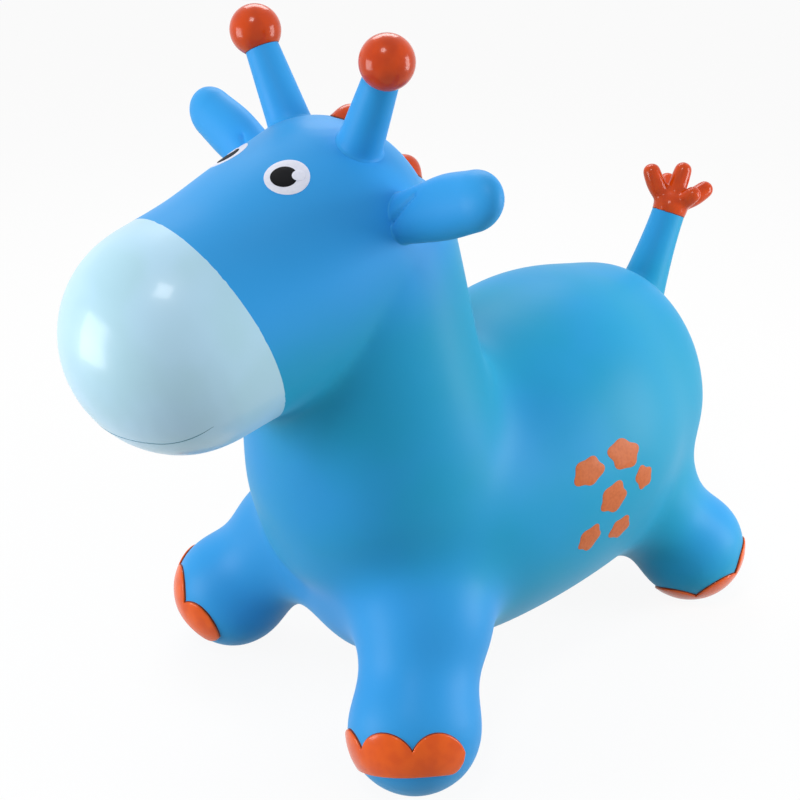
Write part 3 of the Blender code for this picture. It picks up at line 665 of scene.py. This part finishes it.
def addStalk(bm, matrix, halves, top, steps, filletShare=1.0):
    inward = matrix.inverted()
    down = matrix.to_3x3() @ -up
    count = stalk["count"]

    def skinHeight(x, y):
        start = matrix @ Vector((x, y, stalk["castFrom"]))
        return (inward @ onSkin(start, down, 2 * stalk["castFrom"])[0]).z

    def spoke(index, height, widen=0.0):
        turn = 2 * pi * index / count
        wide, above, below = halves(height)
        tall = above if sin(turn) >= 0 else below
        return (wide + widen) * cos(turn), (tall + widen) * sin(turn)

    feet = [skinHeight(*spoke(index, stalk["guess"])) for index in range(count)]
    feet = [skinHeight(*spoke(index, foot)) for index, foot in enumerate(feet)]
    rings = [[up * (min(feet) - stalk["sink"])]]
    for widen, lift in stalk["fillet"]:
        places = [spoke(index, foot, widen * filletShare) for index, foot in enumerate(feet)]
        rings.append([Vector((x, y, skinHeight(x, y) + lift * filletShare)) for x, y in places])
    low = [corner.z for corner in rings[-1]]
    for step in range(1, steps + 1):
        share = sin(pi / 2 * step / steps)
        ring = [foot + (top - foot) * share for foot in low]
        if halves(max(ring))[0] > 1e-5:
            rings.append([Vector((*spoke(index, at), at)) for index, at in enumerate(ring)])
    rings.append([up * top])
    skinRings(bm, rings, matrix)


def taper(rootRadius, topRadius, low, top, flare=1.0):
    def halves(height):
        share = min(1.0, (height - low) / (top - low))
        radius = topRadius + (rootRadius - topRadius) * (1 - share)**flare
        return radius, radius, radius
    return halves


def bendingVinyl(bm, name):
    piece = closedObject(bm, f"{name}_vinyl", bluePvc)
    bend(piece)
    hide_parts(name)


def makeHorn(side):
    name = f"horn_{side}"
    base = jointPlace(f"{name}_bend")
    knob = middleOf(f"horn_knob_{side}")
    # the knob's solid is open below, so its top gives its height
    knob.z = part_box(f"horn_knob_{side}")[1].z - horn["knobRadius"]
    way, top = (knob - base).normalized(), (knob - base).length
    halves = taper(horn["rootRadius"], horn["topRadius"], horn["seatDepth"], top)
    bm = bmesh.new()
    addStalk(bm, aimed(base, way), halves, top, horn["steps"])
    bendingVinyl(bm, name)

    radius, collar = horn["knobRadius"], horn["topRadius"] + horn["collar"]
    outline = arcOutline(radius, 0, 0, pi - asin((collar + horn["lip"]) / radius), 32)
    low = outline[-1][1]
    outline += [(collar + out, low + rise) for out, rise in horn["mouth"]]
    outline.append((0, low + horn["mouthDepth"]))
    bm = bmesh.new()
    bands = addTurned(bm, outline, aimed(knob, way), horn["knobCount"])
    # the knob's mouth takes painted shade where the knob meets the horn
    for face in sum(bands[-4:], []):
        face.material_index = 1
    piece = closedObject(bm, f"horn_knob_lacquer_{side}", orangeLacquer, paintedShadeLacquer)
    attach(piece, name)
    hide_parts(f"horn_knob_{side}")


def earHalves(height):
    straight = ear["length"] - ear["cap"]
    _, thick, above, below = smoothRow(ear["sections"], max(0.0, min(1.0, height / straight)))
    past = min(1.0, max(0.0, (height - straight) / ear["cap"]))
    dome = sqrt(1 - past**2)
    tall = ear["height"] * dome
    return thick * ear["thickness"] * dome, above * tall, below * tall


def makeEar(side):
    name, sign = f"ear_{side}", sides[side]
    base = jointPlace(f"{name}_flap")
    level = cos(ear["raise"])
    way = Vector((sign * level * cos(ear["sweep"]), level * sin(ear["sweep"]), sin(ear["raise"])))
    flat = way.cross(up).normalized()
    matrix = Matrix.Translation(base) @ Matrix.Rotation(sign * ear["roll"], 4, way)
    matrix = matrix @ Matrix((-flat, flat.cross(way), way)).transposed().to_4x4()
    bm = bmesh.new()
    addStalk(bm, matrix, earHalves, ear["length"], ear["steps"], ear["filletShare"])

    # presses the dents into the front of the root
    inward = matrix.inverted()
    start, finish = Vector(ear["creaseFrom"]), Vector(ear["creaseTo"])
    length = (finish - start).length
    along = (finish - start) / length
    for vert in bm.verts:
        local = inward @ vert.co
        offset = Vector((local.z, local.y)) - start
        run = offset.dot(along)
        if local.x * sign < 0 and -length < run < 2 * length:
            aside = (offset - along * run).length
            past = max(0.0, -run, run - length)
            depth = sum(deep * exp(-(aside / half)**2 - (past / fade)**2)
                        for deep, half, fade in ear["dents"])
            local.x += sign * depth * min(1.0, abs(local.x) / ear["dentEdge"])
            vert.co = matrix @ local
    bendingVinyl(bm, name)


def tailFrame():
    way = Vector((0, sin(tail["lean"]), cos(tail["lean"])))
    return jointPlace("tail_bend"), way, tail["length"] + tail["seatDepth"]


def makeTail():
    base, way, top = tailFrame()
    halves = taper(tail["rootRadius"], tail["topRadius"], tail["seatDepth"], top, tail["flare"])
    bm = bmesh.new()
    addStalk(bm, aimed(base, way), halves, top, tail["steps"])
    bendingVinyl(bm, "tail")


for side in sides:
    makeHorn(side)
    makeEar(side)
makeTail()
print("horns, ears and tail made")


# Relief, print and painted shade: a flat outline is laid on the skin, with a rounded edge and a
# closed underside

def flatPlacer(centre, normal, rightWay, upWay, reach):
    start = centre + normal * reach
    return lambda x, y: onSkin(start + rightWay * x + upWay * y, -normal, 2 * reach)


# Lays an outline round a ball: x and y are lengths on it, from the way that the turn faces
def roundPlacer(centre, turn, radius, reach):
    def place(x, y):
        around, lift = x / radius, y / radius
        way = turn @ Vector((sin(around) * cos(lift), -cos(around) * cos(lift), sin(lift)))
        return onSkin(centre + way * reach, -way, reach)
    return place


def insideOutline(point, outline):
    inside = False
    for a, b in zip(outline, outline[1:] + outline[:1]):
        if (a.y > point.y) != (b.y > point.y):
            inside ^= point.x < a.x + (b.x - a.x) * (point.y - a.y) / (b.y - a.y)
    return inside


# The rows give how far in from the outline each ring lies and how high over the skin
def layOn(name, outline, place, rows, spacing, *materials, edgeBands=0):
    flat = [Vector(point) for point in outline]
    count = len(flat)
    if sum(a.cross(b) for a, b in zip(flat, flat[1:] + flat[:1])) < 0:
        flat.reverse()
    outwards = []
    for index in range(count):
        along = (flat[(index + 1) % count] - flat[index - 1]).normalized()
        outwards.append(Vector((along.y, -along.x)))
    bm = bmesh.new()

    def vertAt(point, rise):
        at, normal = place(*point)
        at = at + normal * rise
        at.z = max(at.z, 0.0002)  # clear of the floor
        return bm.verts.new(at)

    def fill(points, ring, rise):
        low, high = Vector(map(min, *points)), Vector(map(max, *points))
        inner = []
        for column in range(1, int((high.x - low.x) / spacing) + 1):
            for step in range(1, int((high.y - low.y) / spacing) + 1):
                point = low + Vector((column, step)) * spacing
                clear = min((point - corner).length for corner in points)
                if clear > spacing * 0.6 and insideOutline(point, points):
                    inner.append(point)
        edges = [(index, (index + 1) % count) for index in range(count)]
        coords, _, faces, origins, _, _ = delaunay_2d_cdt(points + inner, edges, [], 1, 1e-7)
        verts = []
        for coord, origin in zip(coords, origins):
            first = min(origin) if origin else count
            verts.append(ring[first] if first < count else vertAt(coord, rise))
        for face in faces:
            bm.faces.new([verts[corner] for corner in face])

    rings = []
    for inset, rise in rows:
        points = [point - way * inset for point, way in zip(flat, outwards)]
        rings.append((points, [vertAt(point, rise) for point in points], rise))
    # the first edgeBands bands take the second material: on a toe cap, painted shade at its edge
    for number, (row, following) in enumerate(zip(rings, rings[1:])):
        for index in range(count):
            after = (index + 1) % count
            corners = row[1][index], row[1][after], following[1][after], following[1][index]
            bm.faces.new(corners).material_index = int(number < edgeBands)
    fill(*rings[0])
    fill(*rings[-1])
    piece = closedObject(bm, name, *materials)
    piece.data.set_sharp_from_angle(angle=radians(55))
    return piece


def discOutline(radius, count, y=0.0):
    return [(radius * cos(turn), y + radius * sin(turn)) for turn in turnsOf(count)]


eye = {
    "radius": 0.0150, "pupilRadius": 0.0089, "pupilShift": -0.0020,
    "glintRadius": 0.0044, "glintShift": 0.0076, "glintMargin": 0.0006,
    "gazeTurn": radians(31), "headAxisZ": 0.400, "cast": 0.03,
    # each ink's foot and top over the skin, and how far apart its inner points lie
    "white": (-0.0003, 0.0003, 0.004), "pupil": (0.0001, 0.0005, 0.004),
    "glint": (0.0002, 0.0007, 0.003), "shoulder": (0.0003, 0.0001),
}


def makeEye(side):
    middle = middleOf(f"eye_white_{side}")
    outwards = (middle - Vector((0, middle.y, eye["headAxisZ"]))).normalized()
    centre, normal = onSkin(middle + outwards * eye["cast"], -outwards, 2 * eye["cast"])
    rear = (back - normal * back.dot(normal)).normalized()
    rear = Matrix.Rotation(-sides[side] * eye["gazeTurn"], 3, normal) @ rear
    place = flatPlacer(centre, normal, rear.cross(normal), rear, eye["cast"])
    pupil = discOutline(eye["pupilRadius"], 60, eye["pupilShift"])
    discs = {"white": discOutline(eye["radius"], 72), "pupil": pupil, "glint": glintOutline()}
    inset, drop = eye["shoulder"]
    for name, outline in discs.items():
        low, high, spacing = eye[name]
        rows = ((0, low), (0, high - drop), (inset, high))
        ink = blackInk if name == "pupil" else whiteInk
        piece = layOn(f"eye_{name}_ink_{side}", outline, place, rows, spacing, ink)
        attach(piece, "head")
        if name != "glint":
            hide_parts(f"eye_{name}_{side}")


# The glint lies on the pupil only: its disc is cut off just inside the white's own edge
def glintOutline():
    points = []
    for x, y in discOutline(eye["glintRadius"], 48, eye["glintShift"]):
        share = min(1.0, (eye["radius"] - eye["glintMargin"]) / hypot(x, y))
        points.append((x * share, y * share))
    return points


toe = {
    "edges": (-1.25, -0.41, 0.41, 1.25), "cuspLift": radians(-10), "lobeLift": radians(14.5),
    "baseLift": radians(-33), "lean": radians(28),
    # how far a cap is turned outwards, dropped and rolled, in degrees
    "front": (21.6, 2.5, 6.5), "rear": (62, 30, 0),
    "cornerWidth": 0.26, "cornerPower": 0.8,
    "endSink": radians(11),  # how fast the band's ends sink, per radian squared
    # in from the outline, over the skin: a thin dark edge of painted shade first, then the relief's
    # rounded shoulder
    "rows": ((-0.0005, -0.0006), (-0.0005, 0.0001), (0.0000, 0.0003), (0.0001, 0.0010),
             (0.0004, 0.0016), (0.0009, 0.0019), (0.0015, 0.0020)),
    "edgeBands": 3, "spacing": 0.0030, "cast": 0.075, "steps": (32, 16, 40),
}


# Three round lobes above, rounded corners and a straight base, as angles round the foot
def toeOutline():
    edge, low, high, rise = toe["edges"][-1], toe["baseLift"], toe["cuspLift"], toe["lobeLift"]
    lobeSteps, cornerSteps, baseSteps = toe["steps"]
    flat = []
    for left, right in zip(toe["edges"], toe["edges"][1:]):
        middle, half = (left + right) / 2, (right - left) / 2
        radius = (half**2 + rise**2) / (2 * rise)
        for step in range(lobeSteps):
            x = -half * cos(pi * step / lobeSteps)
            flat.append((middle + x, high + sqrt(radius**2 - x**2) - radius + rise))
    corner = []
    for step in range(cornerSteps):
        turn = pi / 2 * step / cornerSteps
        corner.append((edge - toe["cornerWidth"] * (1 - cos(turn)**toe["cornerPower"]),
                       high + (low - high) * sin(turn)**toe["cornerPower"]))
    inner = edge - toe["cornerWidth"]
    flat += corner + [(inner * (1 - 2 * step / baseSteps), low) for step in range(baseSteps + 1)]
    flat += [(-x, y) for x, y in corner[:0:-1]]
    outline = []
    for x, y in flat:
        share = 0.5 + 0.5 * (y - low) / (high - low)
        y -= toe["endSink"] * share * max(0.0, abs(x) - toe["edges"][2])**2
        outline.append((x * leg["footRadius"], y * leg["footRadius"]))
    return outline


def makeToeCap(end, side):
    name, hip, along, outwards, foot = legFrame(end, side)
    turn, drop, roll = (radians(angle) for angle in toe[end])
    facing = (Matrix.Rotation(-toe["lean"], 3, up.cross(outwards))
              @ Matrix.Rotation(sides[side] * turn, 3, "Z") @ Matrix.Rotation(drop, 3, "X")
              @ Matrix.Rotation(-sides[side] * roll, 3, "Y"))
    place = roundPlacer(foot, facing, leg["footRadius"], toe["cast"])
    cap = layOn(f"toe_cap_lacquer_{end}_{side}", toeOutline(), place, toe["rows"], toe["spacing"],
                litToeLacquer, paintedShadeLacquer, edgeBands=toe["edgeBands"])
    bend(cap)
    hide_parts(f"toe_cap_{end}_{side}")


smile = {
    "radius": 0.080, "half": 0.00040, "steps": 40, "thin": 0.25, "thinOver": 12, "cast": 0.12,
    # turns from straight ahead and lifts round the muzzle's middle, in degrees, on the left side
    "line": ((0.0, -38.4), (20.0, -38.2), (39.6, -37.6), (47.7, -36.8), (57.1, -34.0),
             (65.1, -30.0), (72.5, -24.9)),
    "rows": ((0, -0.0003), (0, 0.00012)), "spacing": 0.02,
}


# the smile crease is not pressed into the skin: a thin dark strip lies on it as painted shade
def makeSmile():
    rows = np.radians(smile["line"])
    line = [smoothRow(rows, step / smile["steps"]) for step in range(smile["steps"] + 1)]
    line = [np.array((-turn, lift)) for turn, lift in line[:0:-1]] + line
    upper, lower = [], []
    for index, point in enumerate(line):
        along = line[min(index + 1, len(line) - 1)] - line[max(index - 1, 0)]
        aside = np.array((-along[1], along[0])) / np.linalg.norm(along)
        # the crease thins out towards its two ends
        share = min(1.0, smile["thin"] + min(index, len(line) - 1 - index) / smile["thinOver"])
        half = aside * smile["half"] * share
        upper.append(point * smile["radius"] + half)
        lower.append(point * smile["radius"] - half)
    place = roundPlacer(muzzleMiddle, Matrix.Identity(3), smile["radius"], smile["cast"])
    outline = [tuple(point) for point in lower + upper[::-1]]
    piece = layOn("smile_crease", outline, place, smile["rows"], smile["spacing"], creaseShade)
    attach(piece, "head")


coat = {
    # on both flanks: a patch's place along and up, its half length, half height and tilt
    "patches": (
        (0.0470, 0.2040, 0.0145, 0.0110, 12), (0.0860, 0.2070, 0.0165, 0.0120, -14),
        (0.1080, 0.1800, 0.0095, 0.0110, 25), (0.0720, 0.1740, 0.0150, 0.0125, 8),
        (0.0490, 0.1440, 0.0125, 0.0110, 30), (0.0860, 0.1390, 0.0125, 0.0105, -28)),
    # how often and how far each outline bulges, and how that turns from patch to patch
    "bulges": ((5, 0.09, 1.9), (2, 0.06, 0.7), (3, 0.04, 2.3)),
    "rows": ((0, -0.0004), (0, 0.00012), (0.0003, 0.0002)),
    "spacing": 0.006, "count": 60, "cast": 0.30,
}


def patchOutline(y, z, halfLong, halfTall, tilt, seed):
    points = []
    for turn in turnsOf(coat["count"]):
        reach = 1 + sum(share * cos(times * turn + shift * seed)
                        for times, share, shift in coat["bulges"])
        point = Vector((halfLong * reach * cos(turn), halfTall * reach * sin(turn)))
        point = Matrix.Rotation(radians(tilt), 2) @ point
        points.append((y + shiftBack + point.x, z + point.y))
    return points


def makeCoat(side):
    place = flatPlacer(Vector(), across * sides[side], back, up, coat["cast"])
    for seed, patch in enumerate(coat["patches"], 1):
        piece = layOn(f"coat_patch_{side}_{seed}", patchOutline(*patch, seed), place,
                      coat["rows"], coat["spacing"], coatInk)
        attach(piece, "trunk")


for side in sides:
    makeEye(side)
    makeCoat(side)
    for end in leg["lengths"]:
        makeToeCap(end, side)
makeSmile()
print("eyes, smile, coat patches and toe caps laid on")


# Mane and tuft: bodies of their own in the orange lacquer

mane = {
    "radius": 0.0128, "rise": 0.0118, "wide": 0.90, "long": 1.16,
    "skirt": 0.16, "skirtPower": 4, "risePower": 1.1,  # its foot flares where it meets the skin
    "foot": 0.0010, "root": 0.0040, "cast": 0.03, "steps": 16, "count": 48,
}


def makeManeLobe(node):
    middle = middleOf(node)
    _, normal, _, _ = skinTree.find_nearest(middle)
    normal.x = 0
    normal.normalize()
    point, _ = onSkin(middle + normal * mane["cast"], -normal, 2 * mane["cast"])
    matrix = Matrix((across, normal.cross(across), normal)).transposed().to_4x4()
    matrix = Matrix.Translation(point) @ matrix
    rings = [[up * -mane["root"]]]
    for step in range(mane["steps"]):
        turn = pi / 2 * step / mane["steps"]
        reach = mane["radius"] * (cos(turn) + mane["skirt"] * (1 - sin(turn))**mane["skirtPower"])
        height = mane["rise"] * sin(turn)**mane["risePower"] if step else -mane["foot"]
        ring = roundRing(reach, height, mane["count"])
        rings.append([corner * Vector((mane["wide"], mane["long"], 1)) for corner in ring])
    rings.append([up * mane["rise"]])
    bm = bmesh.new()
    bands = skinRings(bm, rings, Matrix.Identity(4))
    # the lobe's foot takes painted shade where it meets the skin
    for face in sum(bands[:2], []):
        face.material_index = 1
    for vert in bm.verts:  # the lobe's foot follows the skin that it is moulded on
        local = vert.co
        at, _ = onSkin(matrix @ Vector((local.x, local.y, mane["cast"])), -normal, 2 * mane["cast"])
        vert.co = at + normal * local.z
    piece = closedObject(bm, f"{node}_lacquer", orangeLacquer, paintedShadeLacquer)
    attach(piece, "head")
    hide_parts(node)


tuft = {
    "coreRadius": 0.0160, "voxel": 0.0011, "rounds": 12, "spread": radians(47),
    "collar": 0.0006, "collarDrop": 0.0004, "rootFade": 0.004, "rootShare": 0.08,
    # turn round the tail, length and thickest radius of each petal; the first stands upright
    "petals": ((0, 0.0430, 0.0088), (95, 0.0320, 0.0082), (150, 0.0450, 0.0088),
               (240, 0.0420, 0.0086), (315, 0.0450, 0.0088)),
    "firstTilt": 1.22, "lastTilt": 0.74,  # shares of the spread: a petal leaves wide and turns up
    "shape": (0.80, 0.92, 1.00, 0.92),  # its radius from root to tip
    "tip": 0.92, "tipShare": 0.85, "steps": 16, "tipSteps": 8, "count": 28,
}


def addPetal(bm, matrix, turn, length, radius, spread):
    def ringAt(centre, tilt, radius):
        lean = Matrix.Rotation(tilt, 3, "X")
        return [centre + lean @ corner for corner in roundRing(radius, 0, tuft["count"])]

    centre, steps = Vector(), tuft["steps"]
    rings = [[centre.copy()]]
    for step in range(steps + 1):
        share = step / steps
        tilt = spread * (tuft["firstTilt"] + (tuft["lastTilt"] - tuft["firstTilt"]) * share)
        wide = radius * smoothRow(tuft["shape"], share)
        rings.append(ringAt(centre, tilt, wide))
        ahead = Matrix.Rotation(tilt, 3, "X") @ up
        if step < steps:
            centre = centre + ahead * ((length - radius * tuft["tipShare"]) / steps)
    reach = wide * tuft["tip"]
    for step in range(1, tuft["tipSteps"]):
        dome = pi / 2 * step / tuft["tipSteps"]
        rings.append(ringAt(centre + ahead * (reach * sin(dome)), tilt, wide * cos(dome)))
    rings.append([centre + ahead * reach])
    skinRings(bm, rings, matrix @ Matrix.Rotation(radians(turn), 4, "Z"))


def makeTuft():
    base, way, top = tailFrame()
    matrix = aimed(base, way)
    coreTurn = pi - asin(tail["topRadius"] / tuft["coreRadius"])
    coreHeight = top - tuft["coreRadius"] * cos(coreTurn)
    outline = arcOutline(tuft["coreRadius"], coreHeight, 0, coreTurn, 16)
    under = top - tuft["collarDrop"]
    outline += [(tail["topRadius"] + tuft["collar"], under), (0, under)]
    bm = bmesh.new()
    addTurned(bm, outline, matrix, 48)
    centre = matrix @ Matrix.Translation((0, 0, coreHeight))
    for index, petal in enumerate(tuft["petals"]):
        addPetal(bm, centre, *petal, tuft["spread"] if index else 0.0)
    mesh = voxelForm(bm, "tail_tuft_lacquer", tuft["voxel"])
    points, edges = meshArrays(mesh)
    weights = np.clip((heights(points, base, way) - top) / tuft["rootFade"], tuft["rootShare"], 1)
    mesh.vertices.foreach_set("co", relax(points, edges, weights, tuft["rounds"]).ravel())
    mesh.update()
    mesh.shade_smooth()
    piece = meshObject("tail_tuft_lacquer", mesh, orangeLacquer, paintedShadeLacquer)
    # the collar takes painted shade where the tuft meets the tail
    for polygon in mesh.polygons:
        if (polygon.center - base).dot(way) - top < tuft["collar"]:
            polygon.material_index = 1
    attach(piece, "tail")
    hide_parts("tail_tuft")


for node in frame["nodes"]:
    if node.startswith("mane_lobe"):
        makeManeLobe(node)
makeTuft()
print("mane and tuft made")

for node in ("valve_seat", "valve_plug"):
    solid = frame["nodes"][node]
    solid.data.materials.clear()
    solid.data.materials.append(milkyPvc)


# Stage

stage = {
    "floorHalf": 14.0, "paper": "#f7f7f7", "bounce": "#b2b2b2", "glow": 0.92,
    "ambient": 0.47, "backdrop": 0.956,  # how bright the room is to the animal, and as it is seen
}

view = {
    "azimuth": radians(48.056), "elevation": radians(24.274), "roll": radians(0.535),
    "distance": 1.0039, "target": (0, -0.0222, 0.2884), "lens": 57.09,
    "shiftX": -0.0246, "shiftY": -0.0642,
}

lampMiddle = (0, 0, 0.28)
lamps = {
    # from the camera: how far right of, above and before the animal; width, height and power
    "top softbox": ((-0.150, 1.350, -0.420), 1.00, 0.50, 8.5),
    "left softbox": ((-1.420, -0.250, 0.400), 0.70, 1.00, 15.0),
    "right softbox": ((1.350, 0.000, 0.100), 0.50, 1.20, 15.0),
    "front softbox": ((-0.340, 0.960, 1.360), 0.38, 0.38, 6.0),
}


# Anything that sees the room directly, or in gloss or glass, sees it white
def seenDirectly(tree):
    path = addNode(tree, "LightPath")
    seen = path.outputs["Is Camera Ray"]
    for ray in ("Is Glossy Ray", "Is Transmission Ray"):
        seen = addNode(tree, "Math", {"operation": "MAXIMUM"}, {0: seen, 1: path.outputs[ray]})
    return seen


bm = bmesh.new()
bmesh.ops.create_grid(bm, x_segments=1, y_segments=1, size=stage["floorHalf"])
paper, tree, shader = newMaterial("paper, matt white",
                                  {"Roughness": 0.9, "Specular IOR Level": 0.0})
seen = seenDirectly(tree)
base = addNode(tree, "Mix", {"data_type": "RGBA", 6: linear(stage["bounce"]),
                             7: linear(stage["paper"])}, {0: seen})
connect(shader, {"Base Color": base.outputs[2]})
glow = addNode(tree, "Emission", {"Strength": 1.0})
share = addNode(tree, "Math", {"operation": "MULTIPLY", 1: stage["glow"]}, {0: seen})
mixed = addNode(tree, "MixShader", None, {0: share, 1: shader, 2: glow})
connect(tree.nodes["Material Output"], {"Surface": mixed})
closedObject(bm, "floor", paper)

world = bpy.data.worlds.new("studio")
bpy.context.scene.world = world
world.use_nodes = True
tree = world.node_tree
light = tree.nodes["Background"]
light.inputs["Color"].default_value = linear("#ffffff")
strength = addNode(tree, "MapRange", {"To Min": stage["ambient"], "To Max": stage["backdrop"]},
                   {"Value": seenDirectly(tree)})
connect(light, {"Strength": strength})

azimuth, elevation = view["azimuth"], view["elevation"]
level = Vector((sin(azimuth), -cos(azimuth), 0))
towards = level * cos(elevation) + up * sin(elevation)
rightWay = Vector((cos(azimuth), sin(azimuth), 0))
cameraTurn = Matrix((rightWay, towards.cross(rightWay), towards)).transposed()
camera = addObject("camera", bpy.data.cameras.new("camera"))
camera.data.lens = view["lens"]
camera.data.shift_x = view["shiftX"]
camera.data.shift_y = view["shiftY"]
place = Vector(view["target"]) + back * shiftBack + towards * view["distance"]
turn = Matrix.Rotation(view["roll"], 3, towards) @ cameraTurn
camera.matrix_world = Matrix.LocRotScale(place, turn, None)
bpy.context.scene.camera = camera

for name, (offset, width, height, power) in lamps.items():
    lamp = bpy.data.lights.new(name, "AREA")
    lamp.shape = "RECTANGLE"
    lamp.size, lamp.size_y = width, height
    lamp.energy = power
    way = cameraTurn @ Vector(offset)
    addObject(name, lamp).matrix_world = Matrix.LocRotScale(
        Vector(lampMiddle) + way, way.to_track_quat("Z", "Y"), None)

bpy.context.scene.view_settings.view_transform = "Standard"
print("stage set")
